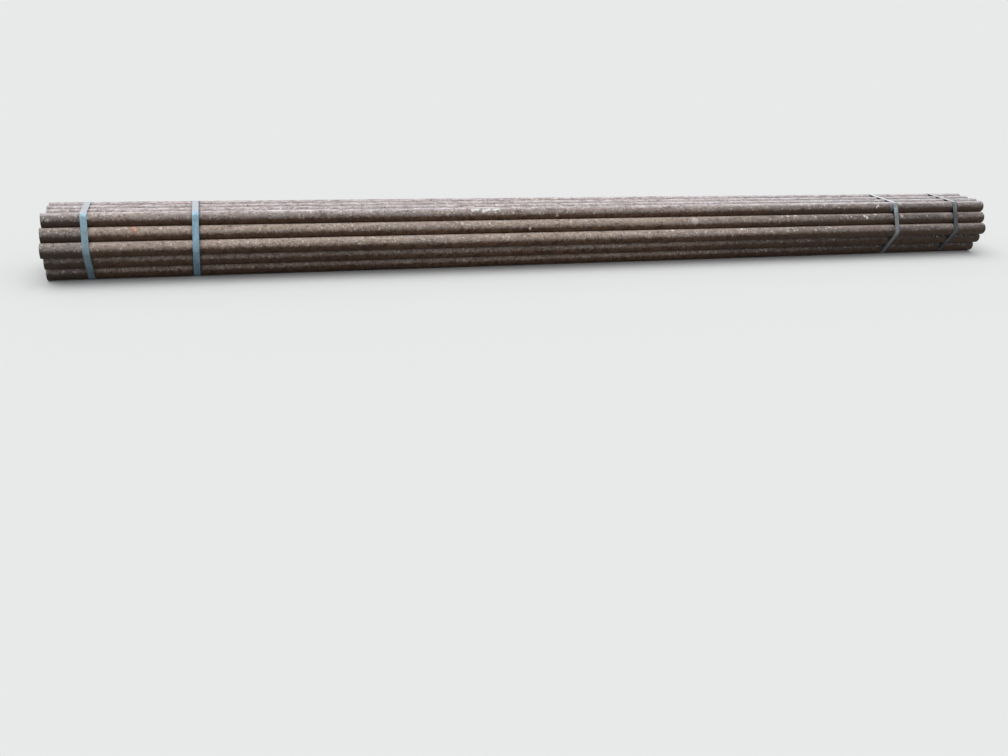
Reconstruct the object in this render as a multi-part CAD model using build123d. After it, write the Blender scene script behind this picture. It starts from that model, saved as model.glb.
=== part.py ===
from build123d import *
import os
from math import cos, radians, sin, tan

# A strapped bundle of steel pipes, lying level. X runs along the pipes, Y across them with the front
# at -Y, and Z is up. The origin is at the middle of the bundle, on the floor under its straps.
# All lengths are in millimetres and all angles in degrees.

# The pipe: welded steel tube, cut square at both ends
PIPE_DIAMETER = 76.1
PIPE_WALL = 3.6
PIPE_LENGTH = 5800.0
PIPE_GAP = 0.3  # left between neighbouring pipes

# The rows from the top down. Each row lists its pipes from the front to the back, by the share of the
# largest slide that each one has slid along the bundle, because the ends are never quite flush.
LARGEST_SLIDE = 16.0
ROW_SLIDES = (
    (-0.25, 1.0, 0.6, 0.75),
    (-0.75, 0.4, -0.2, 0.55, 0.25),
    (-1.0, -0.3, 0.5, 0.1, -0.45, 0.7),
    (-0.55, 0.45, -0.1, 0.75, -0.4),
    (-0.6, 0.25, -0.3, 0.5),
)

# The strap: flat steel strapping
STRAP_WIDTH = 31.75
STRAP_THICKNESS = 1.1
STRAP_GAP = 0.3  # left between a strap and the pipes that it bears on

# How far in from its end of the pipes each strap crosses the top of the bundle
LEFT_OUTER_INSET = 193.0
LEFT_INNER_INSET = 720.0
RIGHT_INNER_INSET = 732.0
RIGHT_OUTER_INSET = 247.0

# Each strap's place, how far it slants across the top and down the sides, in degrees, and the side of
# the bundle where its ends are joined
STRAPS = {
    "left_outer": (LEFT_OUTER_INSET - PIPE_LENGTH / 2, -1.0, 1.5, "back"),
    "left_inner": (LEFT_INNER_INSET - PIPE_LENGTH / 2, -1.5, -2.0, "back"),
    "right_inner": (PIPE_LENGTH / 2 - RIGHT_INNER_INSET, -0.5, -3.5, "front"),
    "right_outer": (PIPE_LENGTH / 2 - RIGHT_OUTER_INSET, -1.0, -7.0, "back"),
}

# The joint of a strap: one end laps over the other inside a seal, high on a slanting side of the stack
SEAL_LENGTH = 50.0
SEAL_WALL = 1.0
SEAL_CLEARANCE = 0.3  # between the seal and the straps in it
SEAL_SEAM = 7.0  # left open between the two folded edges, under the seal
LAP_GAP = 0.2  # between the two ends where they lap
LAP_END = 8.0  # how far the covered end runs on past the seal
TAIL_LENGTH = 16.0  # how far the covering end runs on past the seal
TAIL_LIFT = 2.5  # how far the tip of that end has sprung up
JOINT_MARGIN = 2.0  # from the corner of the stack to the first bend of the joint
EASE_LENGTH = 4.0  # from the seal to the nearest bend of a strap
RAMP_ANGLE = 9.5  # of the slope where a strap rises or falls at its joint
RAMP_RADIUS = 12.0  # of the slight bends at each end of a ramp

# The notches that crimp a seal to its strap, in pairs on both edges
NOTCH_SPACING = 24.0
NOTCH_DEPTH = 4.0
NOTCH_WIDTH = 6.0  # at its bottom
NOTCH_ANGLE = 60.0  # of its sides, to the strap's edge

# Worked out from the sizes above
PIPE_RADIUS = PIPE_DIAMETER / 2
PITCH = PIPE_DIAMETER + PIPE_GAP
ROW_RISE = PITCH * sin(radians(60))
BEND_RADIUS = PIPE_RADIUS + STRAP_GAP + STRAP_THICKNESS / 2
COVERED_LIFT = SEAL_WALL + SEAL_CLEARANCE
COVERING_LIFT = COVERED_LIFT + STRAP_THICKNESS + LAP_GAP
LAP_HEIGHT = 2 * STRAP_THICKNESS + LAP_GAP
ROW_COUNT = len(ROW_SLIDES)
BOTTOM_AXIS = STRAP_THICKNESS + STRAP_GAP + PIPE_RADIUS
BUNDLE_REACH = PITCH * (max(len(row) for row in ROW_SLIDES) + ROW_COUNT)


def pipe_axis(row, index):
    """Where a pipe's axis crosses the end view, as Y and Z. Row 0 is on top, and pipe 0 is in front."""
    pipes = range(len(ROW_SLIDES[row]))
    across = (pipes[index] - pipes[-1] / 2) * PITCH
    return Vector(across, BOTTOM_AXIS + (ROW_COUNT - 1 - row) * ROW_RISE)


def bearing(angle):
    """A unit direction in the end view, from the angle above +Y."""
    return Vector(cos(radians(angle)), sin(radians(angle)))


def make_pipe(row, index):
    """One length of tube at its place in the stack."""
    ring = Circle(PIPE_RADIUS) - Circle(PIPE_RADIUS - PIPE_WALL)
    tube = extrude(Plane.YZ * ring, PIPE_LENGTH / 2, both=True)
    axis = pipe_axis(row, index)
    return Pos(ROW_SLIDES[row][index] * LARGEST_SLIDE, axis.X, axis.Y) * tube


# The strap follows the six corner pipes of the stack. Seen from the end, its joint lies on the straight
# run from the front pipe of the top row down to the front pipe of the widest row.
WIDEST_ROW = max(range(ROW_COUNT), key=lambda row: len(ROW_SLIDES[row]))
JOINT_CORNER = pipe_axis(0, 0)
JOINT_NORMAL = bearing(150)
JOINT_DOWN = bearing(240)
RAMP_SLOPE = tan(radians(RAMP_ANGLE))
SEAL_TOP = JOINT_MARGIN + COVERED_LIFT / RAMP_SLOPE + EASE_LENGTH
SEAL_BOTTOM = SEAL_TOP + SEAL_LENGTH


def joint_point(distance, lift):
    """A point of the strap's middle line near its joint: down from the corner, and out from its seat."""
    return JOINT_CORNER + JOINT_NORMAL * (BEND_RADIUS + lift) + JOINT_DOWN * distance


def corner_point(row, index, angle):
    """Where the straight runs on both sides of a corner pipe would meet."""
    return pipe_axis(row, index) + bearing(angle) * (BEND_RADIUS / cos(radians(30)))


def strap_route():
    """The strap's middle line in the end view, from its covered end once round to its covering end."""
    covered_end = SEAL_BOTTOM + LAP_END
    lap_foot = covered_end + EASE_LENGTH
    points = [
        joint_point(covered_end, COVERED_LIFT),
        joint_point(SEAL_TOP - EASE_LENGTH, COVERED_LIFT),
        joint_point(JOINT_MARGIN, 0),
        corner_point(0, 0, 120),
        corner_point(0, -1, 60),
        corner_point(WIDEST_ROW, -1, 0),
        corner_point(ROW_COUNT - 1, -1, 300),
        corner_point(ROW_COUNT - 1, 0, 240),
        corner_point(WIDEST_ROW, 0, 180),
        joint_point(lap_foot + COVERING_LIFT / RAMP_SLOPE, 0),
        joint_point(lap_foot, COVERING_LIFT),
        joint_point(SEAL_TOP - EASE_LENGTH, COVERING_LIFT),
        joint_point(SEAL_TOP - TAIL_LENGTH, COVERING_LIFT + TAIL_LIFT),
    ]
    radii = [RAMP_RADIUS] * 2 + [BEND_RADIUS] * 6 + [RAMP_RADIUS] * 3
    return FilletPolyline(*points, radius=radii)


def notch_outlines():
    """The four notches of a joint, in the plane of the strap, each running out past the strap's edge."""
    height = 2 * NOTCH_DEPTH
    width = NOTCH_WIDTH + 2 * height / tan(radians(NOTCH_ANGLE))
    notch = Trapezoid(width, height, NOTCH_ANGLE)
    offset_out = STRAP_WIDTH / 2 - NOTCH_DEPTH + height / 2
    places = [
        Pos(along, side * offset_out) * Rot(0, 0, 90 + 90 * side)
        for along in (-NOTCH_SPACING / 2, NOTCH_SPACING / 2)
        for side in (-1, 1)
    ]
    return Sketch() + [place * notch for place in places]


def make_seal():
    """A strip folded round both layers of strap and pinched in at the notches, centred on the origin."""
    strap = Rectangle(2 * SEAL_LENGTH, STRAP_WIDTH) - notch_outlines()
    inside = offset(strap, SEAL_CLEARANCE, kind=Kind.INTERSECTION)
    outside = offset(strap, SEAL_CLEARANCE + SEAL_WALL, kind=Kind.INTERSECTION)
    inner_half = LAP_HEIGHT / 2 + SEAL_CLEARANCE
    outer_half = inner_half + SEAL_WALL
    sleeve = extrude(outside, outer_half, both=True) - extrude(inside, inner_half, both=True)
    sleeve -= Pos(0, 0, -outer_half) * Box(2 * SEAL_LENGTH, SEAL_SEAM, 2 * (SEAL_WALL + SEAL_CLEARANCE))
    return sleeve & Box(SEAL_LENGTH, 2 * STRAP_WIDTH, 2 * outer_half)


def make_strap_and_seal(place, top_slant, side_slant, joint_side):
    """One strap round the stack and the seal on its joint."""
    slant_normal = Vector(1, tan(radians(top_slant)), tan(radians(side_slant))).normalized()
    top = Vector(place, 0, pipe_axis(0, 0).Y)
    reach = 2 * BUNDLE_REACH
    band = extrude(Plane.YZ * trace(strap_route(), STRAP_THICKNESS), BUNDLE_REACH, both=True)
    to_front = 1
    if joint_side == "back":
        band = mirror(band, Plane.XZ)
        to_front = -1
    slab = Plane(top, z_dir=slant_normal) * Box(reach, reach, STRAP_WIDTH * cos(radians(side_slant)))
    strap = Pos(place, 0, 0) * band & slab

    middle = joint_point((SEAL_TOP + SEAL_BOTTOM) / 2, (COVERED_LIFT + COVERING_LIFT) / 2)
    centre = Vector(0, to_front * middle.X, middle.Y)
    outward = Vector(0, to_front * JOINT_NORMAL.X, JOINT_NORMAL.Y)
    along_x = place - (slant_normal.Y * centre.Y + slant_normal.Z * (centre.Z - top.Z)) / slant_normal.X
    joint = Plane(centre + Vector(along_x, 0, 0), x_dir=slant_normal.cross(outward), z_dir=outward)
    strap -= joint * extrude(notch_outlines(), LAP_HEIGHT, both=True)
    return strap, joint * make_seal()


os.makedirs("parts", exist_ok=True)
for row in range(ROW_COUNT):
    for index in range(len(ROW_SLIDES[row])):
        export_step(make_pipe(row, index), f"parts/pipe_row{row + 1}_{index + 1}.step")
for name, layout in STRAPS.items():
    strap, seal = make_strap_and_seal(*layout)
    export_step(strap, f"parts/strap_{name}.step")
    export_step(seal, f"parts/seal_{name}.step")
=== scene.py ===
"""A strapped bundle of rusty steel pipes on a plain floor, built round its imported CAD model.

Lengths are in metres. X runs along the pipes, the front is at -Y, and Z is up.
"""
import random
from math import atan2, cos, pi, radians, sin, sqrt, tan

import bpy
from mathutils import Matrix, Vector


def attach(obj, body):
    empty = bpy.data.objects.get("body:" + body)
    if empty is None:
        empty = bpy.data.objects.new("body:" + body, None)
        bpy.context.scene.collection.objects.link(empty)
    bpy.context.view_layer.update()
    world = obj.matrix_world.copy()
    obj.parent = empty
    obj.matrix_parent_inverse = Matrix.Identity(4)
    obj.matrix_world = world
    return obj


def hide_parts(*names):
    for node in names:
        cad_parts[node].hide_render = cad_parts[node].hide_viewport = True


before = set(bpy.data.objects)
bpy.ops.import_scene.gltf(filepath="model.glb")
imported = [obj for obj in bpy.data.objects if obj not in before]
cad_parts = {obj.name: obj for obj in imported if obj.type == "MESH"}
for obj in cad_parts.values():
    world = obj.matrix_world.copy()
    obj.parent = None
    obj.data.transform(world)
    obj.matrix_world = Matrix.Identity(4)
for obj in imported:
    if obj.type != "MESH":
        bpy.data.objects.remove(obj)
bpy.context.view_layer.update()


# The pipes. Twenty-four lengths of welded steel tube, sawn square and left outdoors until they rusted
# brown all over, with a pale mauve dust and a painted sheen on top. They are stacked in rows of 4, 5, 6, 5
# and 4, each row lying in the grooves of the next.
PIPE_DIAMETER = 0.0761
PIPE_RADIUS = PIPE_DIAMETER / 2
PIPE_WALL = 0.0036
PIPE_LENGTH = 5.8
PIPE_GAP = 0.0003  # left between neighbouring pipes
PIPE_PITCH = PIPE_DIAMETER + PIPE_GAP
PIPE_FACETS = 96
OUTER_RIM = 0.0007  # filed off the outside edge of each sawn end
INNER_RIM = 0.0004  # filed off its inside edge
WELD_HEIGHT = 0.0007  # of the bead along the inside of the pipe
WELD_HALF_ANGLE = radians(1)
STRAP_THICKNESS = 0.0011
STRAP_GAP = 0.0003  # left between a strap and the pipes that it bears on
# The rows from the top down. Each lists its pipes from the front to the back, by the share of the
# largest slide that each one has slid along the bundle
LARGEST_SLIDE = 0.016
ROW_SLIDES = (
    (-0.25, 1.0, 0.6, 0.75),
    (-0.75, 0.4, -0.2, 0.55, 0.25),
    (-1.0, -0.3, 0.5, 0.1, -0.45, 0.7),
    (-0.55, 0.45, -0.1, 0.75, -0.4),
    (-0.6, 0.25, -0.3, 0.5),
)
ROW_COUNT = len(ROW_SLIDES)
ROW_RISE = PIPE_PITCH * sin(radians(60))
BOTTOM_AXIS = STRAP_THICKNESS + STRAP_GAP + PIPE_RADIUS


def pipe_axis(row, index):
    """Where a pipe's axis crosses the end view. Row 0 is on top, and pipe 0 is in front."""
    last = len(ROW_SLIDES[row]) - 1
    return Vector((0, (index - last / 2) * PIPE_PITCH, BOTTOM_AXIS + (ROW_COUNT - 1 - row) * ROW_RISE))


def bearing(angle):
    """A unit direction in the end view, from the angle above +Y."""
    return Vector((0, cos(radians(angle)), sin(radians(angle))))


def object_mode():
    if bpy.context.mode != "OBJECT":
        bpy.ops.object.mode_set(mode="OBJECT")


def select_only(*pieces):
    """Leaves only these pieces selected, or none, and the last of them active."""
    object_mode()
    bpy.ops.object.select_all(action="DESELECT")
    for piece in pieces:
        piece.select_set(True)
        bpy.context.view_layer.objects.active = piece


def select_in_mesh(piece, kind, wanted):
    """Selects the vertices, edges or faces that a test picks, and goes into edit mode."""
    object_mode()
    bpy.context.view_layer.objects.active = piece
    bpy.ops.object.mode_set(mode="EDIT")
    bpy.ops.mesh.select_mode(type=kind)
    bpy.ops.mesh.select_all(action="DESELECT")
    object_mode()
    mesh = piece.data
    parts = {"VERT": mesh.vertices, "EDGE": mesh.edges, "FACE": mesh.polygons}[kind]
    for part in parts:
        part.select = wanted(part)
    bpy.ops.object.mode_set(mode="EDIT")


def finish_piece(piece, name, smooth_angle=30):
    """Leaves edit mode and gives a modelled piece its name and its smooth shading."""
    object_mode()
    bpy.ops.object.transform_apply(location=True, rotation=True, scale=True)
    bpy.ops.object.shade_smooth_by_angle(angle=radians(smooth_angle))
    piece.name = piece.data.name = name
    return piece


def copy_of(pattern):
    """A copy with a mesh of its own, in the scene and alone selected."""
    piece = pattern.copy()
    piece.data = pattern.data.copy()
    bpy.context.scene.collection.objects.link(piece)
    select_only(piece)
    return piece


def model_pipe():
    """One pipe on the X axis: a bar that is bored through, with its rims filed and its weld inside."""
    select_only()
    bpy.ops.mesh.primitive_cylinder_add(
        vertices=PIPE_FACETS, radius=PIPE_RADIUS, depth=PIPE_LENGTH, rotation=(0, radians(90), 0)
    )
    pipe = bpy.context.object
    bpy.ops.object.transform_apply(rotation=True)
    select_in_mesh(pipe, "FACE", lambda face: abs(face.normal.x) > 0.9)
    bpy.ops.mesh.inset(thickness=PIPE_WALL, use_individual=True)
    bpy.ops.mesh.bridge_edge_loops()
    middle_radius = PIPE_RADIUS - PIPE_WALL / 2
    nearly_at_end = PIPE_LENGTH / 2 - 1e-5

    def on_rim(edge, outer):
        ends = [pipe.data.vertices[v].co for v in edge.vertices]
        return all(
            abs(co.x) > nearly_at_end and (sqrt(co.y**2 + co.z**2) > middle_radius) == outer for co in ends
        )

    for outer, width in ((True, OUTER_RIM), (False, INNER_RIM)):
        select_in_mesh(pipe, "EDGE", lambda edge: on_rim(edge, outer))
        bpy.ops.mesh.bevel(offset=width, segments=2)
    on_weld = lambda co: abs(atan2(co.y, co.z)) < WELD_HALF_ANGLE and co.z < middle_radius
    select_in_mesh(pipe, "VERT", lambda vertex: on_weld(vertex.co))
    bpy.ops.transform.translate(value=(0, 0, -WELD_HEIGHT))
    return finish_piece(pipe, "pipe_pattern")


def node_adder(tree):
    """A helper that adds nodes to a tree, in rows of twelve, with their inputs set or linked."""

    def add(kind, inputs=None, **settings):
        node = tree.nodes.new(kind)
        down, along = divmod(len(tree.nodes), 12)
        node.location = (220 * along, -260 * down)
        for key, value in settings.items():
            setattr(node, key, value)
        for key, value in (inputs or {}).items():
            if isinstance(value, bpy.types.NodeSocket):
                tree.links.new(value, node.inputs[key])
            else:
                node.inputs[key].default_value = value
        return node

    return add


def maths(add, operation, *values, clamp=False):
    """A sum that is worked out all over the surface."""
    return add("ShaderNodeMath", dict(enumerate(values)), operation=operation, use_clamp=clamp).outputs[0]


def vector_maths(add, operation, *values, output="Vector"):
    """The same for vectors."""
    return add("ShaderNodeVectorMath", dict(enumerate(values)), operation=operation).outputs[output]


def noise(add, place, scale, detail, roughness=0.5):
    settings = {"Vector": place, "Scale": scale, "Detail": detail, "Roughness": roughness}
    return add("ShaderNodeTexNoise", settings).outputs["Fac"]


def fade(add, value, start, end, low=0.0, high=1.0, smooth=False):
    """A mask that goes from low to high while the value goes from the start to the end."""
    settings = {"Value": value, "From Min": start, "From Max": end, "To Min": low, "To Max": high}
    kind = "SMOOTHSTEP" if smooth else "LINEAR"
    return add("ShaderNodeMapRange", settings, interpolation_type=kind).outputs["Result"]


def make_group(name, inputs):
    """A new shader node group that puts out one mask. Returns it, its inputs and its helper for nodes."""
    group = bpy.data.node_groups.new(name, "ShaderNodeTree")
    for socket_name, socket_type in inputs.items():
        group.interface.new_socket(socket_name, in_out="INPUT", socket_type=socket_type)
    group.interface.new_socket("Mask", in_out="OUTPUT", socket_type="NodeSocketFloat")
    add = node_adder(group)
    return group, add("NodeGroupInput").outputs, add


FLOAT, VECTOR = "NodeSocketFloat", "NodeSocketVector"

# Uneven patches of colour, stretched along the piece or across it
blotches, given, add = make_group(
    "blotches", {"Coordinates": VECTOR, "Stretch": VECTOR, "Detail": FLOAT, "From": FLOAT, "To": FLOAT}
)
stretched = vector_maths(add, "MULTIPLY", given["Coordinates"], given["Stretch"])
uneven = noise(add, stretched, scale=1.0, detail=given["Detail"], roughness=0.62)
add("NodeGroupOutput", {"Mask": fade(add, uneven, given["From"], given["To"], smooth=True)})

# Small ragged specks, in a share of the cells that the surface falls into
specks, given, add = make_group(
    "specks", {"Coordinates": VECTOR, "Stretch": VECTOR, "Size": FLOAT, "Share": FLOAT}
)
SPECK_WARP = (0.006, 0.006, 0.006)  # how far the edges of the specks wander
warp = add("ShaderNodeTexNoise", {"Vector": given["Coordinates"], "Scale": 260.0, "Detail": 2.0})
warp_move = vector_maths(add, "MULTIPLY", warp.outputs["Color"], SPECK_WARP)
warped = vector_maths(add, "ADD", given["Coordinates"], warp_move)
stretched = vector_maths(add, "MULTIPLY", warped, given["Stretch"])
cells = add("ShaderNodeTexVoronoi", {"Vector": stretched, "Scale": 1.0}).outputs
cell_value = add("ShaderNodeSeparateColor", {"Color": cells["Color"]}).outputs
chosen = maths(add, "LESS_THAN", cell_value["Red"], given["Share"])
cell_size = maths(add, "MULTIPLY", cell_value["Green"], given["Size"])
near = fade(add, cells["Distance"], cell_size, 0.0, high=2.0)
add("NodeGroupOutput", {"Mask": maths(add, "MULTIPLY", near, chosen, clamp=True)})

# One mark with a ragged edge, at a place and of a size
patch, given, add = make_group(
    "patch", {"Coordinates": VECTOR, "Place": VECTOR, "Reach": VECTOR, "Ragged": FLOAT}
)
PATCH_EDGE, PATCH_FULL = 0.82, 0.50  # shares of the reach at which a mark begins and is full
offset = vector_maths(add, "SUBTRACT", given["Coordinates"], given["Place"])
reached = vector_maths(add, "DIVIDE", offset, given["Reach"])
distance = vector_maths(add, "LENGTH", reached, output="Value")
wander = maths(add, "SUBTRACT", noise(add, given["Coordinates"], scale=170.0, detail=3.0), 0.5)
wander = maths(add, "MULTIPLY", wander, given["Ragged"])
distance = maths(add, "ADD", distance, wander)
add("NodeGroupOutput", {"Mask": fade(add, distance, PATCH_EDGE, PATCH_FULL, smooth=True)})

# A mask on surfaces that look up, with a streaky border: for settled dust, for the painted sheen on crests
# and tops, and for the painted shade line under the pipes
facing_up, given, add = make_group(
    "facing_up", {"Coordinates": VECTOR, "Stretch": VECTOR, "Ragged": FLOAT, "Line": FLOAT, "Blur": FLOAT}
)
stretched = vector_maths(add, "MULTIPLY", given["Coordinates"], given["Stretch"])
wander = maths(add, "SUBTRACT", noise(add, stretched, scale=1.0, detail=4.0, roughness=0.65), 0.5)
wander = maths(add, "MULTIPLY", wander, given["Ragged"])
normal = add("ShaderNodeNewGeometry").outputs["Normal"]
upward = add("ShaderNodeSeparateXYZ", {"Vector": normal}).outputs["Z"]
above = maths(add, "SUBTRACT", maths(add, "ADD", upward, wander), given["Line"])
above = maths(add, "DIVIDE", above, given["Blur"])
add("NodeGroupOutput", {"Mask": fade(add, above, -1.0, 1.0, smooth=True)})


def new_material(name, roughness):
    """A material with its Principled shader. Returns it, the shader, its nodes' helper and the
    piece's own coordinates."""
    material = bpy.data.materials.new(name)
    material.use_nodes = True
    material.node_tree.nodes.clear()
    add = node_adder(material.node_tree)
    shader = add("ShaderNodeBsdfPrincipled", {"Roughness": roughness})
    add("ShaderNodeOutputMaterial", {"Surface": shader.outputs["BSDF"]})
    return material, shader, add, add("ShaderNodeTexCoord").outputs["Object"]


def link(source, shader, socket):
    shader.id_data.links.new(source, shader.inputs[socket])


def layer(add, below, colour, amount, blend="MIX"):
    """Lays one colour over another where the mask is on. Sockets 6 and 7 of the node are its colours."""
    settings = {"Factor": amount, 6: below, 7: colour}
    return add("ShaderNodeMix", settings, data_type="RGBA", blend_type=blend).outputs[2]


def times(add, mask, factor):
    """A mask turned down by a number or by another mask."""
    return maths(add, "MULTIPLY", mask, factor, clamp=True)


def use(add, group, place, **values):
    """Places a node group on the piece's own coordinates and returns its mask."""
    return add("ShaderNodeGroup", {"Coordinates": place, **values}, node_tree=group).outputs["Mask"]


def add_bump(add, shader, height, strength, depth):
    bump = add("ShaderNodeBump", {"Strength": strength, "Distance": depth, "Height": height})
    link(bump.outputs["Normal"], shader, "Normal")


def add_relief(add, shader, place, fine, coarse, strength, depth):
    """Bump from two sizes of grain."""
    fine_grain = noise(add, place, scale=fine, detail=5.0, roughness=0.65)
    coarse_grain = noise(add, place, scale=coarse, detail=3.0)
    add_bump(add, shader, maths(add, "ADD", fine_grain, coarse_grain), strength, depth)


# The rust of the sides and the crests' dust with its painted sheen, each first as on the lower rows and
# then as on the top row, and the same again for the right part, where painted shade darkens the sides and
# the lower rows' crests and a painted highlight makes the top row's crest paler
SIDE_RUST = ((0.460, 0.352, 0.280, 1), (0.405, 0.322, 0.287, 1))
RIGHT_SHADED_SIDE_RUST = ((0.090, 0.078, 0.072, 1), (0.185, 0.158, 0.144, 1))
CREST_DUST_AND_SHEEN = ((0.530, 0.425, 0.345, 1), (0.740, 0.670, 0.690, 1))
RIGHT_CREST_DUST_AND_SHEEN = ((0.380, 0.310, 0.270, 1), (0.800, 0.750, 0.770, 1))
# The rust underneath, made red-black by painted shade: at the left, in the middle, at the right, in its
# blotches and at the left end
SHADED_UNDER_RUST = (0.120, 0.070, 0.044, 1)
MIDDLE_SHADED_UNDER_RUST = (0.165, 0.094, 0.058, 1)
RIGHT_SHADED_UNDER_RUST = (0.088, 0.056, 0.038, 1)
DEEP_SHADED_UNDER_RUST = (0.060, 0.030, 0.019, 1)
END_SHADED_UNDER_RUST = (0.055, 0.042, 0.034, 1)
END_GREY = (0.150, 0.150, 0.162, 1)  # over the sides at the left end
SPECK_LICHEN = (0.76, 0.69, 0.61, 1)
NEW_RUST = (0.45, 0.22, 0.13, 1)  # in a few small blooms
# The heights and the places along X between which one look gives way to the next
TOP_ROW_FADE = (0.285, 0.315)
RIGHT_PART_FADE = (0.2, 2.4)
LEFT_END_FADE = (-2.69, -2.74)
MIDDLE_PART = {"Place": (-0.15, 0, 0.2), "Reach": (1.5, 4, 4), "Ragged": 0.3}
# The upward share of the normal at which the painted shade underneath ends, at the left, and how much
# higher that is at the right and in the middle
UNDER_LINE, RIGHT_UNDER_RISE, MIDDLE_UNDER_RISE = 0.17, 0.12, -0.07
# How strongly each effect shows
END_GREY_AMOUNT, END_UNDER_AMOUNT = 0.55, 0.7
RIGHT_MOTTLE_SHARE = 0.60
STREAK_AMOUNT, GRAIN_AMOUNT, NEW_RUST_AMOUNT = 0.80, 0.35, 0.6
# The mottling: its stretch, where its mask starts and is full, its colour and its amount
MOTTLES = (
    ((1.3, 11, 11), 0.42, 0.62, (0.310, 0.275, 0.290, 1), 0.35),
    ((1.9, 13, 13), 0.50, 0.66, (0.560, 0.390, 0.310, 1), 0.35),
    ((11, 22, 22), 0.48, 0.66, (0.160, 0.110, 0.096, 1), 0.45),
    ((8, 34, 34), 0.50, 0.66, (0.640, 0.550, 0.530, 1), 0.40),
    ((50, 50, 50), 0.52, 0.64, (0.120, 0.078, 0.062, 1), 0.60),
    ((40, 60, 60), 0.55, 0.66, (0.740, 0.630, 0.570, 1), 0.55),
    ((95, 90, 90), 0.58, 0.65, (0.940, 0.850, 0.800, 1), 0.80),
)
# The streaks in the dust and painted sheen of the top row, and the two sizes of grain in the rust
DUST_AND_SHEEN_STREAKS = (
    ((14, 130, 130), (0.960, 0.920, 0.960, 1)),
    ((18, 110, 110), (0.240, 0.185, 0.205, 1)),
)
GRAIN_STRETCHES = ((350, 350, 350), (1100, 1100, 1100))
WHITE_LIME = (0.96, 0.96, 0.95, 1)
CREAM_LIME = (0.88, 0.82, 0.73, 1)
PALE_LICHEN = (0.58, 0.50, 0.44, 1)
BUFF_LICHEN = (0.68, 0.59, 0.53, 1)
FRESH_RUST = (0.80, 0.46, 0.36, 1)
PALE_RUST = (0.84, 0.60, 0.51, 1)
DULL_RUST = (0.46, 0.28, 0.21, 1)
ZINC_SMEAR = (0.27, 0.29, 0.30, 1)
MARK_RAGGED = 1.5
# Marks on the front pipes: the pipe's row, the place along X, the bearing round the pipe, how far the
# mark reaches along and round it, and its colour
PIPE_MARKS = (
    (0, -0.704, 132, 0.018, 0.011, WHITE_LIME),
    (0, -0.684, 126, 0.018, 0.011, WHITE_LIME),
    (0, -0.644, 142, 0.016, 0.012, WHITE_LIME),
    (0, -0.627, 135, 0.018, 0.013, WHITE_LIME),
    (0, -0.609, 127, 0.016, 0.011, WHITE_LIME),
    (0, -0.577, 131, 0.016, 0.010, WHITE_LIME),
    (0, -0.559, 124, 0.022, 0.011, WHITE_LIME),
    (0, -0.200, 188, 0.014, 0.013, PALE_LICHEN),
    (0, -0.100, 160, 0.012, 0.012, PALE_LICHEN),
    (0, 0.030, 170, 0.012, 0.012, PALE_LICHEN),
    (0, 0.725, 130, 0.020, 0.014, PALE_LICHEN),
    (0, 2.022, 158, 0.009, 0.014, CREAM_LIME),
    (0, 2.036, 144, 0.010, 0.013, CREAM_LIME),
    (0, 2.141, 148, 0.019, 0.022, ZINC_SMEAR),
    (0, 2.146, 180, 0.017, 0.024, ZINC_SMEAR),
    (0, 2.210, 129, 0.018, 0.014, PALE_LICHEN),
    (1, -2.478, 128, 0.030, 0.040, DULL_RUST),
    (1, -2.481, 106, 0.015, 0.016, FRESH_RUST),
    (1, -2.472, 130, 0.010, 0.014, FRESH_RUST),
    (1, -2.355, 122, 0.012, 0.012, PALE_RUST),
    (1, -0.375, 185, 0.010, 0.012, CREAM_LIME),
    (1, -0.275, 149, 0.012, 0.012, PALE_LICHEN),
    (1, 0.685, 140, 0.036, 0.034, BUFF_LICHEN),
    (1, 1.210, 141, 0.012, 0.012, PALE_LICHEN),
    (1, 1.345, 108, 0.016, 0.010, WHITE_LIME),
    (1, 1.405, 106, 0.018, 0.010, WHITE_LIME),
    (1, 1.918, 128, 0.012, 0.013, CREAM_LIME),
    (1, 1.934, 146, 0.014, 0.015, CREAM_LIME),
    (1, 2.008, 106, 0.019, 0.012, CREAM_LIME),
    (1, 2.210, 134, 0.016, 0.022, PALE_LICHEN),
    (2, 0.530, 105, 0.016, 0.012, WHITE_LIME),
    (2, 1.005, 112, 0.016, 0.012, WHITE_LIME),
)


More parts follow.
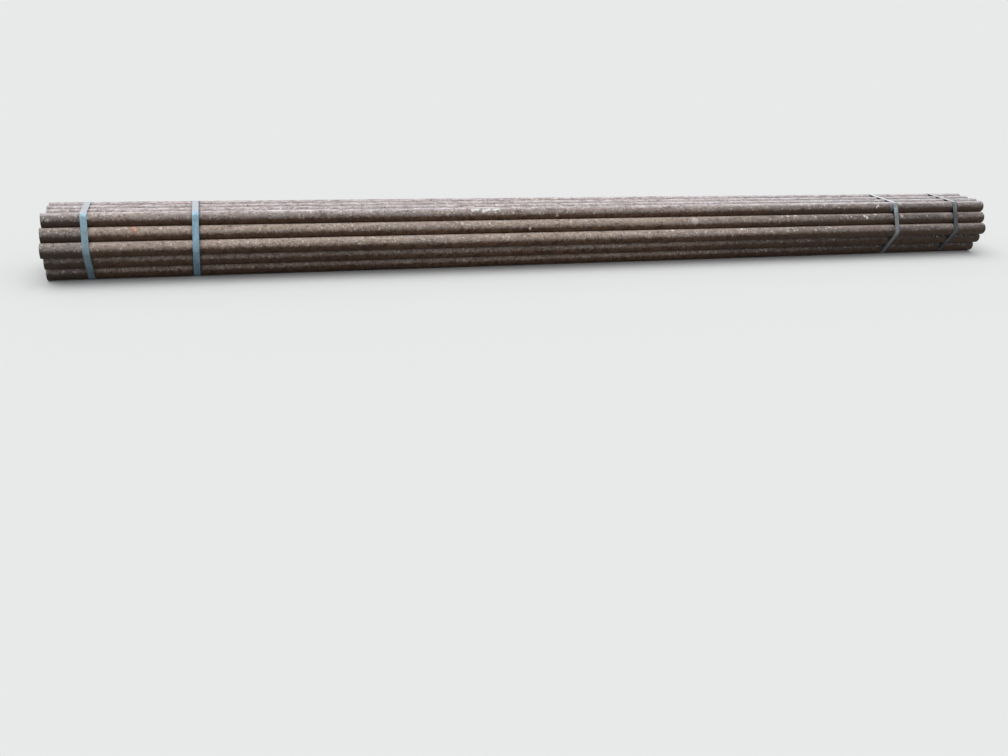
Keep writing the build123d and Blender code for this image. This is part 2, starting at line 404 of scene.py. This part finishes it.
def make_pipe_skin():
    """Old rust outside: brown on the sides, red-black underneath with painted shade, darker at the right
    with painted shade, and pale with dust and a painted sheen along the top row.
    """
    material, shader, add, place = new_material("pipe_skin", roughness=0.72)
    where = add("ShaderNodeSeparateXYZ", {"Vector": place}).outputs
    top_row = fade(add, where["Z"], *TOP_ROW_FADE)
    right_part = fade(add, where["X"], *RIGHT_PART_FADE, smooth=True)
    left_end = fade(add, where["X"], *LEFT_END_FADE)
    middle = use(add, patch, place, **MIDDLE_PART)

    # The sides, and the crests pale with dust and a painted sheen
    right_shaded_side = layer(add, *RIGHT_SHADED_SIDE_RUST, top_row)
    side = layer(add, layer(add, *SIDE_RUST, top_row), right_shaded_side, right_part)
    side = layer(add, side, END_GREY, times(add, left_end, END_GREY_AMOUNT))
    right_crest = layer(add, *RIGHT_CREST_DUST_AND_SHEEN, top_row)
    crest = layer(add, layer(add, *CREST_DUST_AND_SHEEN, top_row), right_crest, right_part)
    dust_and_sheen = use(add, facing_up, place, Stretch=(18, 60, 60), Ragged=0.22, Line=0.87, Blur=0.17)
    rust = layer(add, side, crest, dust_and_sheen)
    mottled = fade(add, right_part, 0.0, 1.0, low=1.0, high=RIGHT_MOTTLE_SHARE)
    for stretch, start, full, colour, amount in MOTTLES:
        mottle = use(add, blotches, place, Stretch=stretch, Detail=5.0, From=start, To=full)
        rust = layer(add, rust, colour, times(add, times(add, mottle, amount), mottled))
    top_streaks = times(add, top_row, STREAK_AMOUNT)
    for stretch, colour in DUST_AND_SHEEN_STREAKS:
        streaks = use(add, blotches, place, Stretch=stretch, Detail=4.0, From=0.51, To=0.60)
        rust = layer(add, rust, colour, times(add, times(add, streaks, dust_and_sheen), top_streaks))

    # The underside, darkened with painted shade: red-black rust, deepest in blotches
    shaded_under = layer(add, SHADED_UNDER_RUST, MIDDLE_SHADED_UNDER_RUST, middle)
    shaded_under = layer(add, shaded_under, RIGHT_SHADED_UNDER_RUST, right_part)
    deeper_blotches = use(add, blotches, place, Stretch=(30, 34, 34), Detail=6.0, From=0.40, To=0.66)
    shaded_under = layer(add, shaded_under, DEEP_SHADED_UNDER_RUST, deeper_blotches)
    shaded_under = layer(add, shaded_under, END_SHADED_UNDER_RUST, times(add, left_end, END_UNDER_AMOUNT))
    line = maths(add, "MULTIPLY_ADD", right_part, RIGHT_UNDER_RISE, UNDER_LINE)
    line = maths(add, "MULTIPLY_ADD", middle, MIDDLE_UNDER_RISE, line)
    lit_side = use(add, facing_up, place, Stretch=(70, 60, 60), Ragged=0.90, Line=line, Blur=0.30)
    rust = layer(add, shaded_under, rust, lit_side)

    # Grain, lichen, new rust and the marks
    for stretch in GRAIN_STRETCHES:
        grain = use(add, blotches, place, Stretch=stretch, Detail=4.0, From=0.25, To=0.75)
        rust = layer(add, rust, grain, GRAIN_AMOUNT, "OVERLAY")
    lichen = use(add, specks, place, Stretch=(75, 75, 75), Size=0.85, Share=0.26)
    settled = use(add, blotches, place, Stretch=(1.1, 6, 6), Detail=2.0, From=0.42, To=0.56)
    rust = layer(add, rust, SPECK_LICHEN, times(add, times(add, lichen, settled), lit_side))
    fresh = use(add, blotches, place, Stretch=(11, 11, 11), Detail=8.0, From=0.68, To=0.76)
    rust = layer(add, rust, NEW_RUST, times(add, fresh, NEW_RUST_AMOUNT))
    for row, along, angle, reach, reach_round, colour in PIPE_MARKS:
        spot = pipe_axis(row, 0) + bearing(angle) * PIPE_RADIUS + Vector((along, 0, 0))
        size = (reach, reach_round, reach_round)
        mark = use(add, patch, place, Place=spot, Reach=size, Ragged=MARK_RAGGED)
        rust = layer(add, rust, colour, mark)
    shader.inputs["Specular IOR Level"].default_value = 0.3
    link(rust, shader, "Base Color")
    add_relief(add, shader, place, fine=420.0, coarse=90.0, strength=0.5, depth=0.0006)
    return material


# The rust of the bore and of the sawn ends, each in its deep and in its shallow blotches
BORE_RUST = ((0.070, 0.038, 0.024, 1), (0.190, 0.105, 0.062, 1))
BORE_DUST, BORE_DUST_AMOUNT = (0.32, 0.235, 0.175, 1), 0.6
CUT_RUST = ((0.120, 0.066, 0.040, 1), (0.300, 0.165, 0.092, 1))


def make_pipe_bore():
    """The inside of the tube: darker, drier rust with a little loose dust along the bottom."""
    material, shader, add, place = new_material("pipe_bore", roughness=0.85)
    shallow = use(add, blotches, place, Stretch=(30, 50, 50), Detail=6.0, From=0.38, To=0.66)
    rust = layer(add, *BORE_RUST, shallow)
    dust = use(add, facing_up, place, Stretch=(40, 40, 40), Ragged=0.4, Line=0.80, Blur=0.20)
    rust = layer(add, rust, BORE_DUST, times(add, dust, BORE_DUST_AMOUNT))
    link(rust, shader, "Base Color")
    add_relief(add, shader, place, fine=300.0, coarse=70.0, strength=0.4, depth=0.0005)
    return material


def make_pipe_cut():
    """The sawn ends: fine saw lines under an even orange-brown rust."""
    material, shader, add, place = new_material("pipe_cut", roughness=0.7)
    shallow = use(add, blotches, place, Stretch=(120, 120, 120), Detail=5.0, From=0.36, To=0.66)
    link(layer(add, *CUT_RUST, shallow), shader, "Base Color")
    saw_lines = add(
        "ShaderNodeTexWave", {"Vector": place, "Scale": 480.0, "Distortion": 1.5}, bands_direction="Z"
    )
    add_bump(add, shader, saw_lines.outputs["Fac"], strength=0.35, depth=0.0002)
    return material


pipe_pattern = model_pipe()
pipe_skin = make_pipe_skin()
for finish in (pipe_skin, make_pipe_bore(), make_pipe_cut()):
    pipe_pattern.data.materials.append(finish)
BORE_SLOT, CUT_SLOT = 1, 2
for face in pipe_pattern.data.polygons:
    if abs(face.normal.x) > 0.5:
        face.material_index = CUT_SLOT
    elif sqrt(face.center.y**2 + face.center.z**2) < PIPE_RADIUS - PIPE_WALL / 2:
        face.material_index = BORE_SLOT

# Each pipe is turned so that its weld lies elsewhere
turns = random.Random(24)
for row, slides in enumerate(ROW_SLIDES):
    for index, slide in enumerate(slides):
        pipe = copy_of(pipe_pattern)
        name = f"pipe_row{row + 1}_{index + 1}"
        pipe.name = pipe.data.name = f"rusty_{name}"
        weld_turn = Matrix.Rotation(turns.uniform(0, 2 * pi), 4, "X")
        place = pipe_axis(row, index) + Vector((slide * LARGEST_SLIDE, 0, 0))
        pipe.data.transform(Matrix.Translation(place) @ weld_turn)
        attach(pipe, "root")
        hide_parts(name)
bpy.data.objects.remove(pipe_pattern)


# The straps. Four bands of flat steel strapping pulled tight round the stack, each slanting a little,
# with both ends lapped under a seal and notched by its tool. The two on the left are a clean zinc whose
# blue-grey is partly a painted reflection of the sky, and the two on the right are duller, the outer one
# darker again.
STRAP_WIDTH = 0.03175
BEND_RADIUS = PIPE_RADIUS + STRAP_GAP + STRAP_THICKNESS / 2
SEAL_LENGTH = 0.050
SEAL_WALL = 0.001
SEAL_CLEARANCE = 0.0003  # between the seal and the straps in it
LAP_GAP = 0.0002  # between the two ends where they lap
LAP_END = 0.008  # how far the covered end runs on past the seal
TAIL_LENGTH = 0.016  # how far the covering end runs on past the seal
TAIL_LIFT = 0.0025  # how far the tip of that end has sprung up
JOINT_BEARING = 150  # out from the side of the stack that the joint lies on, in degrees
JOINT_MARGIN = 0.002  # from the corner of the stack to the first bend of the joint
EASE_LENGTH = 0.004  # from the seal to the nearest bend of the strap
RAMP_SLOPE = tan(radians(9.5))
RAMP_RADIUS = 0.012  # of the slight bends at each end of a ramp
NOTCH_SPACING = 0.024
NOTCH_DEPTH = 0.004
NOTCH_WIDTH = 0.006  # at its bottom
NOTCH_SLOPE = tan(radians(60))
COVERED_LIFT = SEAL_WALL + SEAL_CLEARANCE
COVERING_LIFT = COVERED_LIFT + STRAP_THICKNESS + LAP_GAP
LAP_HEIGHT = 2 * STRAP_THICKNESS + LAP_GAP
SEAL_TOP = JOINT_MARGIN + COVERED_LIFT / RAMP_SLOPE + EASE_LENGTH
SEAL_BOTTOM = SEAL_TOP + SEAL_LENGTH
SPARE_WIDTH = 0.16  # of a band before it is cut on its slant
BEND_STEP = radians(5)  # from one face to the next round a bend
EDGE_BEVEL = 0.0002
SHARP_ANGLE = radians(50)  # edges sharper than this are bevelled
# The corners of the stack, in the order in which a strap goes round them: the pipe's row, its place in
# the row, and the bearing of the corner
CORNERS = ((0, 0, 120), (0, 3, 60), (2, 5, 0), (4, 3, 300), (4, 0, 240), (2, 0, 180))
HALF_CORNER = radians(30)  # half of a strap's turn at each corner
# Each strap's place along the bundle, its slants across the top and down the sides in degrees, and the
# side of the bundle where it is joined: 1 is the front and -1 the back
STRAPS = {
    "left_outer": (-2.707, -1.0, 1.5, -1),
    "left_inner": (-2.180, -1.5, -2.0, -1),
    "right_inner": (2.168, -0.5, -3.5, 1),
    "right_outer": (2.653, -1.0, -7.0, -1),
}


def joint_point(distance, lift):
    """A point of the strap's middle line near its joint: down from the corner, and out from its seat."""
    seat = pipe_axis(0, 0) + bearing(JOINT_BEARING) * (BEND_RADIUS + lift)
    return seat + bearing(JOINT_BEARING + 90) * distance


def corner_point(row, index, angle):
    """Where the straight runs on both sides of a corner pipe would meet."""
    return pipe_axis(row, index) + bearing(angle) * (BEND_RADIUS / cos(HALF_CORNER))


def slant_plane(place, top_slant, side_slant):
    """The slanting plane along the middle of a strap, as a point and a normal."""
    normal = Vector((1, tan(radians(top_slant)), tan(radians(side_slant)))).normalized()
    return Vector((place, 0, pipe_axis(0, 0).z)), normal


def joint_matrix(place, top_slant, side_slant, to_front):
    """The joint's own axes: X down along the strap, Y across it and Z out from the stack."""
    middle, normal = slant_plane(place, top_slant, side_slant)
    centre = joint_point((SEAL_TOP + SEAL_BOTTOM) / 2, (COVERED_LIFT + COVERING_LIFT) / 2)
    outward = bearing(JOINT_BEARING)
    centre.y, outward.y = centre.y * to_front, outward.y * to_front
    centre.x = middle.x - (normal.y * centre.y + normal.z * (centre.z - middle.z)) / normal.x
    along = normal.cross(outward).normalized()
    axes = Matrix((along, outward.cross(along), outward)).transposed().to_4x4()
    return Matrix.Translation(centre) @ axes


def follow_route(route, radii, step):
    """Draws the selected edge along a route: straight along each run, and spun round each corner."""
    here = route[0]
    for before, corner, after, radius in zip(route, route[1:], route[2:], radii):
        came, goes = (corner - before).normalized(), (after - corner).normalized()
        turn = atan2(came.cross(goes).x, came.dot(goes))
        tangent = radius * tan(abs(turn) / 2)
        spin_start = corner - came * tangent
        bpy.ops.mesh.extrude_region_move(TRANSFORM_OT_translate={"value": spin_start - here})
        inward = came.cross(Vector((1, 0, 0))) * (-1 if turn > 0 else 1)
        steps = max(2, round(abs(turn) / step))
        bpy.ops.mesh.spin(steps=steps, angle=-turn, center=spin_start + inward * radius, axis=(1, 0, 0))
        here = corner + goes * tangent
    bpy.ops.mesh.extrude_region_move(TRANSFORM_OT_translate={"value": route[-1] - here})


def start_edge(length, place):
    """A sheet's first edge, along X. It is left selected in edit mode."""
    select_only()
    bpy.ops.mesh.primitive_plane_add(size=length, location=(0, 0, 0))
    sheet = bpy.context.object
    select_in_mesh(sheet, "VERT", lambda vertex: vertex.co.y < 0)
    bpy.ops.mesh.delete(type="VERT")
    bpy.ops.mesh.select_all(action="SELECT")
    bpy.ops.transform.translate(value=place - Vector((0, length / 2, 0)))
    return sheet


def model_band():
    """One strap's band, too wide as yet, from its covered end once round the stack to its covering end."""
    lap_foot = SEAL_BOTTOM + LAP_END + EASE_LENGTH
    route = [
        joint_point(SEAL_BOTTOM + LAP_END, COVERED_LIFT),
        joint_point(SEAL_TOP - EASE_LENGTH, COVERED_LIFT),
        joint_point(JOINT_MARGIN, 0),
        *(corner_point(*corner) for corner in CORNERS),
        joint_point(lap_foot + COVERING_LIFT / RAMP_SLOPE, 0),
        joint_point(lap_foot, COVERING_LIFT),
        joint_point(SEAL_TOP - EASE_LENGTH, COVERING_LIFT),
        joint_point(SEAL_TOP - TAIL_LENGTH, COVERING_LIFT + TAIL_LIFT),
    ]
    band = start_edge(SPARE_WIDTH, route[0])
    radii = [RAMP_RADIUS] * 2 + [BEND_RADIUS] * len(CORNERS) + [RAMP_RADIUS] * 3
    follow_route(route, radii, BEND_STEP)
    return finish_piece(band, "band_pattern")


def model_punch():
    """The jaws of the notching tool, on the joint's own axes: four wedges, two at each edge of a strap."""
    reach = 2 * NOTCH_DEPTH
    spread = 1 + 2 * reach / NOTCH_SLOPE / NOTCH_WIDTH
    out = STRAP_WIDTH / 2 - NOTCH_DEPTH + reach / 2
    jaws = []
    for along in (-1, 1):
        for side in (-1, 1):
            select_only()
            bpy.ops.mesh.primitive_cube_add(size=1)
            jaw = bpy.context.object
            select_in_mesh(jaw, "FACE", lambda face: face.normal.y * side > 0.9)
            bpy.ops.transform.resize(value=(spread, 1, 1), center_override=(0, 0, 0))
            bpy.ops.mesh.select_all(action="SELECT")
            bpy.ops.transform.resize(value=(NOTCH_WIDTH, reach, 2 * LAP_HEIGHT), center_override=(0, 0, 0))
            bpy.ops.transform.translate(value=(along * NOTCH_SPACING / 2, side * out, 0))
            jaws.append(jaw)
    select_only(*jaws)
    bpy.ops.object.join()
    return finish_piece(bpy.context.object, "punch_pattern")


def apply_modifier(piece, kind, **settings):
    modifier = piece.modifiers.new(kind.lower(), kind)
    for key, value in settings.items():
        setattr(modifier, key, value)
    bpy.ops.object.modifier_apply(modifier=modifier.name)


LOW_DARKENING_FADE = (0.325, 0.265)  # the heights between which the strap turns darker towards the bottom
EDGE_FADE = (0.72, 1.0)  # the shares of the way out to the strap's edge between which its wear sets in
SCUFF_AMOUNT, HANDLING_AMOUNT, EDGE_WEAR_AMOUNT, STRAP_DUST_AND_SHEEN_AMOUNT = 0.22, 0.6, 0.55, 0.8
BARE_METALLIC, DUSTY_METALLIC = 0.55, 0.15


def make_strap_steel(name, pale, dark, dust, tarnish, low_darkening):
    """Zinc-coated strapping: dust and a painted reflection of the sky on top, darker towards the bottom,
    marked by handling, and worn at its edges.
    """
    material, shader, add, place = new_material(name, roughness=0.42)
    clouds = use(add, blotches, place, Stretch=(45, 16, 16), Detail=5.0, From=0.36, To=0.62)
    zinc = layer(add, dark, pale, clouds)
    height = add("ShaderNodeSeparateXYZ", {"Vector": place}).outputs["Z"]
    zinc = layer(add, zinc, tarnish, times(add, fade(add, height, *LOW_DARKENING_FADE), low_darkening))
    scuffs = use(add, blotches, place, Stretch=(200, 70, 70), Detail=4.0, From=0.50, To=0.62)
    zinc = layer(add, zinc, dust, times(add, scuffs, SCUFF_AMOUNT))
    handling = use(add, blotches, place, Stretch=(160, 60, 60), Detail=5.0, From=0.54, To=0.70)
    handling = times(add, handling, HANDLING_AMOUNT)
    across = add("ShaderNodeAttribute", attribute_name="across").outputs["Fac"]
    edge_wear = times(add, fade(add, across, *EDGE_FADE), EDGE_WEAR_AMOUNT)
    zinc = layer(add, zinc, tarnish, maths(add, "ADD", handling, edge_wear, clamp=True))
    # Dust and a painted reflection of the sky on the upward faces, where the zinc is also less metallic
    dust_and_sheen = use(add, facing_up, place, Stretch=(60, 60, 60), Ragged=0.12, Line=0.95, Blur=0.06)
    zinc = layer(add, zinc, dust, times(add, dust_and_sheen, STRAP_DUST_AND_SHEEN_AMOUNT))
    link(zinc, shader, "Base Color")
    link(fade(add, dust_and_sheen, 0.0, 1.0, low=BARE_METALLIC, high=DUSTY_METALLIC), shader, "Metallic")
    add_relief(add, shader, place, fine=500.0, coarse=120.0, strength=0.2, depth=0.0002)
    return material


# The zinc of each strap, in pale and dark clouds, with its dust (on top also a painted reflection of the
# sky) and tarnish, and how much darker it turns towards the bottom
STRAP_FINISHES = {
    # The blue in the clouds of the two left straps is partly a painted reflection of the sky over grey zinc
    "left_outer": {
        "name": "strap_clean_zinc", "pale": (0.37, 0.65, 0.83, 1), "dark": (0.22, 0.42, 0.57, 1),
        "dust": (0.64, 0.65, 0.68, 1), "tarnish": (0.17, 0.20, 0.20, 1), "low_darkening": 0.20,
    },
    "left_inner": {
        "name": "strap_bright_zinc", "pale": (0.36, 0.73, 1.00, 1), "dark": (0.22, 0.48, 0.70, 1),
        "dust": (0.64, 0.66, 0.70, 1), "tarnish": (0.18, 0.20, 0.20, 1), "low_darkening": 0.0,
    },
    "right_inner": {
        "name": "strap_dull_zinc", "pale": (0.64, 0.75, 0.79, 1), "dark": (0.38, 0.45, 0.48, 1),
        "dust": (0.88, 0.88, 0.90, 1), "tarnish": (0.13, 0.13, 0.13, 1), "low_darkening": 0.62,
    },
    "right_outer": {
        "name": "strap_dark_zinc", "pale": (0.45, 0.48, 0.49, 1), "dark": (0.19, 0.22, 0.23, 1),
        "dust": (0.74, 0.73, 0.71, 1), "tarnish": (0.045, 0.05, 0.055, 1), "low_darkening": 0.86,
    },
}

# Damp held under a strap has stained the pipes beside it, and a painted shadow of the strap darkens them
# too: within the reach from the strap's middle, fully so at the full distance, and shifted a little to its
# right, where the painted shadow falls
STAIN_AND_SHADOW_COLOUR = (0.070, 0.058, 0.054, 1)
STAIN_AND_SHADOW_REACH, STAIN_AND_SHADOW_FULL, STAIN_AND_SHADOW_RAGGED, STAIN_AND_SHADOW_SHIFT = 0.038, 0.023, 0.02, 0.003
STAIN_AND_SHADOW_AMOUNTS = {"left_outer": 0.35, "left_inner": 0.70, "right_inner": 0.80, "right_outer": 0.85}
stain_and_shadow_beside, given, add = make_group(
    "stain_and_shadow_beside", {"Coordinates": VECTOR, "Point": VECTOR, "Normal": VECTOR}
)
offset = vector_maths(add, "SUBTRACT", given["Coordinates"], given["Point"])
distance = vector_maths(add, "DOT_PRODUCT", offset, given["Normal"], output="Value")
distance = maths(add, "ABSOLUTE", distance)
wander = noise(add, given["Coordinates"], scale=60.0, detail=2.0)
wander = maths(add, "MULTIPLY", wander, STAIN_AND_SHADOW_RAGGED)
distance = maths(add, "ADD", distance, wander)
add("NodeGroupOutput", {"Mask": fade(add, distance, STAIN_AND_SHADOW_REACH, STAIN_AND_SHADOW_FULL)})

band_pattern = model_band()
punch_pattern = model_punch()
add_to_skin = node_adder(pipe_skin.node_tree)
skin_place = add_to_skin("ShaderNodeTexCoord").outputs["Object"]
skin_shader = next(node for node in pipe_skin.node_tree.nodes if node.type == "BSDF_PRINCIPLED")
for name, (place, top_slant, side_slant, to_front) in STRAPS.items():
    strap = copy_of(band_pattern)
    strap.data.transform(Matrix.Translation((place, 0, 0)) @ Matrix.Diagonal((1, to_front, 1, 1)))
    middle, slant_normal = slant_plane(place, top_slant, side_slant)
    half_width = STRAP_WIDTH * cos(radians(side_slant)) / 2
    for side in (-1, 1):
        select_in_mesh(strap, "FACE", lambda face: True)
        edge_point = middle + slant_normal * side * half_width
        bpy.ops.mesh.bisect(plane_co=edge_point, plane_no=slant_normal * side, clear_outer=True)
    bpy.ops.mesh.select_all(action="SELECT")
    bpy.ops.mesh.normals_make_consistent(inside=False)
    object_mode()
    punch = copy_of(punch_pattern)
    punch.data.transform(joint_matrix(place, top_slant, side_slant, to_front))
    select_only(strap)
    apply_modifier(strap, "SOLIDIFY", thickness=STRAP_THICKNESS, offset=0, use_even_offset=True)
    apply_modifier(strap, "BOOLEAN", object=punch, operation="DIFFERENCE", solver="EXACT")
    apply_modifier(strap, "BEVEL", width=EDGE_BEVEL, segments=1, angle_limit=SHARP_ANGLE)
    bpy.data.objects.remove(punch)
    finish_piece(strap, f"steel_strap_{name}")
    across = strap.data.attributes.new("across", "FLOAT", "POINT")
    for vertex, value in zip(strap.data.vertices, across.data):
        value.value = abs((vertex.co - middle).dot(slant_normal)) / half_width
    strap.data.materials.clear()
    strap.data.materials.append(make_strap_steel(**STRAP_FINISHES[name]))
    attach(strap, "root")
    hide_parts(f"strap_{name}")
    # The stain and the painted shadow beside this strap, laid over the pipes' rust
    stain_and_shadow_middle = middle + Vector((STAIN_AND_SHADOW_SHIFT, 0, 0))
    stain_and_shadow = use(add_to_skin, stain_and_shadow_beside, skin_place, Point=stain_and_shadow_middle, Normal=slant_normal)
    stain_and_shadow = times(add_to_skin, stain_and_shadow, STAIN_AND_SHADOW_AMOUNTS[name])
    skin_colour = skin_shader.inputs["Base Color"].links[0].from_socket
    link(layer(add_to_skin, skin_colour, STAIN_AND_SHADOW_COLOUR, stain_and_shadow), skin_shader, "Base Color")
bpy.data.objects.remove(band_pattern)
bpy.data.objects.remove(punch_pattern)


# The seals. A strip of thin steel folded round each lap joint and pinched in at both edges by the
# notching tool, so that the two ends of the strap can't slip.
SEAL_SEAM = 0.007  # left open between the two folded edges, under the seal
FOLD_STEP = radians(15)
FOLD_EASE = 0.999  # keeps a sliver of flat between the two bends of each fold
SEAL_SMOOTH_ANGLE = 25
MERGE_DISTANCE = 1e-6
SEAL_FINISH = {
    "name": "seal_zinc", "pale": (0.42, 0.51, 0.55, 1), "dark": (0.24, 0.29, 0.32, 1),
    "dust": (0.70, 0.71, 0.72, 1), "tarnish": (0.10, 0.10, 0.10, 1), "low_darkening": 0.55,
}


def model_seal():
    """One seal on the joint's own axes: a flat strip folded over both edges of the strap, then pinched."""
    fold_radius = LAP_HEIGHT / 2 + SEAL_CLEARANCE + SEAL_WALL / 2
    half_width = STRAP_WIDTH / 2 + SEAL_CLEARANCE + SEAL_WALL / 2
    lip = SEAL_SEAM / 2
    outline = (
        (-lip, -1), (-half_width, -1), (-half_width, 1), (half_width, 1), (half_width, -1), (lip, -1)
    )
    route = [Vector((0, y, z * fold_radius)) for y, z in outline]
    seal = start_edge(SEAL_LENGTH, route[0])
    follow_route(route, [fold_radius * FOLD_EASE] * 4, FOLD_STEP)
    notch_half = NOTCH_WIDTH / 2 - (SEAL_CLEARANCE + SEAL_WALL / 2) / NOTCH_SLOPE
    mouth_half = notch_half + NOTCH_DEPTH / NOTCH_SLOPE
    fold_start = half_width - fold_radius - 1e-4
    notch_reach = notch_half + 1e-5
    for along in (-NOTCH_SPACING / 2, NOTCH_SPACING / 2):
        for corner in (-mouth_half, -notch_half, notch_half, mouth_half):
            select_in_mesh(seal, "FACE", lambda face: True)
            bpy.ops.mesh.bisect(plane_co=(along + corner, 0, 0), plane_no=(1, 0, 0))
        for side in (-1, 1):
            pinched = lambda co: co.y * side > fold_start and abs(co.x - along) < notch_reach
            select_in_mesh(seal, "VERT", lambda vertex: pinched(vertex.co))
            bpy.ops.transform.translate(value=(0, -side * NOTCH_DEPTH, 0))
    bpy.ops.mesh.select_all(action="SELECT")
    bpy.ops.mesh.remove_doubles(threshold=MERGE_DISTANCE)
    bpy.ops.mesh.normals_make_consistent(inside=False)
    select_only(seal)
    apply_modifier(seal, "SOLIDIFY", thickness=SEAL_WALL, offset=0, use_even_offset=True)
    apply_modifier(seal, "BEVEL", width=EDGE_BEVEL, segments=2, angle_limit=SHARP_ANGLE)
    return finish_piece(seal, "seal_pattern", SEAL_SMOOTH_ANGLE)


seal_pattern = model_seal()
seal_steel = make_strap_steel(**SEAL_FINISH)
for name, layout in STRAPS.items():
    seal = copy_of(seal_pattern)
    seal.name = seal.data.name = f"crimped_seal_{name}"
    seal.data.transform(joint_matrix(*layout))
    seal.data.materials.append(seal_steel)
    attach(seal, "root")
    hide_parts(f"seal_{name}")
bpy.data.objects.remove(seal_pattern)


# The floor, the light and the camera. A plain pale studio floor under soft light from above, seen from
# the photograph's own place, in front of the left end and a little above the stack.
FLOOR_RADIUS, FLOOR_FACETS = 160, 96
FLOOR_PALE = (0.80, 0.80, 0.79, 1)
FLOOR_LIGHTING = (0.13, 0.135, 0.12, 1)  # the floor's colour for the light that it throws back
BACKDROP_PALE = (0.807, 0.820, 0.820, 1)  # the colour that the lit floor has in the distance
DOME_COLOUR, DOME_STRENGTH = (0.94, 0.97, 1.0, 1), 0.5
LAMP_STRENGTH, LAMP_SPREAD = 0.55 * pi, radians(70)
LAMP_TILT = (radians(-8), radians(-6), 0)
CAMERA_PLACE = (-2.2028, -5.0935, 1.5119)
CAMERA_YAW, CAMERA_PITCH, CAMERA_ROLL = radians(19.416), radians(22.90), radians(-3.689)
FOCAL_PIXELS, IMAGE_WIDTH = 933.6, 1008
SENSOR_WIDTH = 36  # of the camera, in millimetres
FARTHEST_SEEN = 500


def show_and_light(add, output, shown, lighting):
    """Ends a tree with one shader for the rays that show a surface itself, in the view or in metal, and
    another for those that light other surfaces."""
    path = add("ShaderNodeLightPath").outputs
    seen = maths(add, "MAXIMUM", path["Is Camera Ray"], path["Is Glossy Ray"])
    seen = maths(add, "MAXIMUM", seen, path["Is Transmission Ray"])
    surface = add("ShaderNodeMixShader", {0: seen, 1: lighting.outputs[0], 2: shown.outputs[0]})
    add(output, {"Surface": surface.outputs[0]})


def make_floor():
    select_only()
    bpy.ops.mesh.primitive_circle_add(vertices=FLOOR_FACETS, radius=FLOOR_RADIUS, fill_type="NGON")
    floor = finish_piece(bpy.context.object, "studio_floor")
    material = bpy.data.materials.new("floor_paint")
    material.use_nodes = True
    material.node_tree.nodes.clear()
    add = node_adder(material.node_tree)
    pale = add("ShaderNodeBsdfDiffuse", {"Color": FLOOR_PALE})
    lighting = add("ShaderNodeBsdfDiffuse", {"Color": FLOOR_LIGHTING})
    show_and_light(add, "ShaderNodeOutputMaterial", pale, lighting)
    floor.data.materials.append(material)


def make_light():
    world = bpy.data.worlds.new("studio")
    world.use_nodes = True
    world.node_tree.nodes.clear()
    add = node_adder(world.node_tree)
    backdrop = add("ShaderNodeBackground", {"Color": BACKDROP_PALE, "Strength": 1.0})
    dome = add("ShaderNodeBackground", {"Color": DOME_COLOUR, "Strength": DOME_STRENGTH})
    show_and_light(add, "ShaderNodeOutputWorld", backdrop, dome)
    bpy.context.scene.world = world
    lamp = bpy.data.lights.new("overhead", "SUN")
    lamp.energy, lamp.angle = LAMP_STRENGTH, LAMP_SPREAD
    overhead = bpy.data.objects.new("overhead", lamp)
    overhead.rotation_euler = LAMP_TILT
    bpy.context.scene.collection.objects.link(overhead)


def make_camera():
    yaw, pitch, roll = CAMERA_YAW, CAMERA_PITCH, CAMERA_ROLL
    forward = Vector((sin(yaw) * cos(pitch), cos(yaw) * cos(pitch), -sin(pitch)))
    level_right = Vector((cos(yaw), -sin(yaw), 0))
    level_down = forward.cross(level_right)
    right = level_right * cos(roll) + level_down * sin(roll)
    down = level_down * cos(roll) - level_right * sin(roll)
    camera = bpy.data.cameras.new("photo_camera")
    camera.sensor_fit, camera.sensor_width = "HORIZONTAL", SENSOR_WIDTH
    camera.lens = SENSOR_WIDTH * FOCAL_PIXELS / IMAGE_WIDTH
    camera.clip_end = FARTHEST_SEEN
    camera_object = bpy.data.objects.new("photo_camera", camera)
    turned = Matrix((right, -down, -forward)).transposed().to_4x4()
    camera_object.matrix_world = Matrix.Translation(CAMERA_PLACE) @ turned
    bpy.context.scene.collection.objects.link(camera_object)
    bpy.context.scene.camera = camera_object


make_floor()
make_light()
make_camera()
bpy.context.scene.view_settings.view_transform = "Standard"
